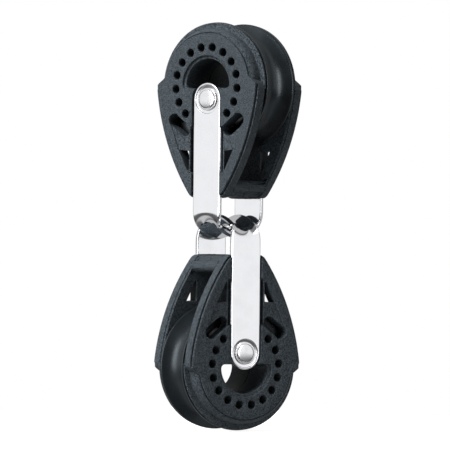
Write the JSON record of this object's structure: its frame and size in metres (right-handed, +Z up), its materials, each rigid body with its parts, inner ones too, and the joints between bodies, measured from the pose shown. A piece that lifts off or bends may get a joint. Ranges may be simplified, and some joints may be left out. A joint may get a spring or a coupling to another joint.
{
  "type": "double sheave block",
  "caption": "Rigging block with ball-bearing rope sheaves joined head to head by interlocked steel straps.",
  "frame": {"origin": "middle of the link, half way between the two sheave axles, at the centre of the bounding box", "axes": "+Z up through the upper block, along the line that joins both axles; the upper axle lies along Y and its front cheek faces -Y; the lower block is turned 66 degrees about Z"},
  "size_m": [0.029, 0.0332, 0.093],
  "materials": {
    "cheek_nylon": "moulded glass-filled nylon, fine grain, satin dark slate grey",
    "sheave_nylon": "turned carbon-filled nylon, near-black satin",
    "ball_acetal": "white acetal balls, smooth",
    "strap_steel": "polished stainless strip",
    "rivet_steel": "stainless, lightly polished"
  },
  "bodies": {
    "upper_frame": {"upper_front_cheek": "cheek_nylon", "upper_back_cheek": "cheek_nylon", "upper_strap": "strap_steel", "upper_centre_rivet": "rivet_steel", "upper_rivet_washers": "rivet_steel", "upper_head_rivet": "rivet_steel"},
    "upper_sheave": {"upper_sheave": "sheave_nylon"},
    "upper_balls": {"upper_front_balls": "ball_acetal", "upper_back_balls": "ball_acetal"},
    "lower_frame": {"lower_front_cheek": "cheek_nylon", "lower_back_cheek": "cheek_nylon", "lower_strap": "strap_steel", "lower_centre_rivet": "rivet_steel", "lower_rivet_washers": "rivet_steel", "lower_head_rivet": "rivet_steel"},
    "lower_sheave": {"lower_sheave": "sheave_nylon"},
    "lower_balls": {"lower_front_balls": "ball_acetal", "lower_back_balls": "ball_acetal"}
  },
  "joints": [
    {"name": "link_swing", "type": "hinge", "parent": "upper_frame", "child": "lower_frame", "pos_m": [0, 0, -0.0042], "axis": [0, -1, 0], "range_deg": [-50, 50]},
    {"name": "upper_sheave_spin", "type": "hinge", "parent": "upper_frame", "child": "upper_sheave", "pos_m": [0, 0, 0.032], "axis": [0, -1, 0], "continuous": true},
    {"name": "upper_balls_spin", "type": "hinge", "parent": "upper_frame", "child": "upper_balls", "pos_m": [0, 0, 0.032], "axis": [0, -1, 0], "continuous": true},
    {"name": "lower_sheave_spin", "type": "hinge", "parent": "lower_frame", "child": "lower_sheave", "pos_m": [0, 0, -0.032], "axis": [0.914, -0.4058, 0], "continuous": true},
    {"name": "lower_balls_spin", "type": "hinge", "parent": "lower_frame", "child": "lower_balls", "pos_m": [0, 0, -0.032], "axis": [0.914, -0.4058, 0], "continuous": true}
  ],
  "couplings": [
    {"joint": "upper_balls_spin", "follows": "upper_sheave_spin", "ratio": 0.5949},
    {"joint": "lower_balls_spin", "follows": "lower_sheave_spin", "ratio": 0.5949}
  ]
}
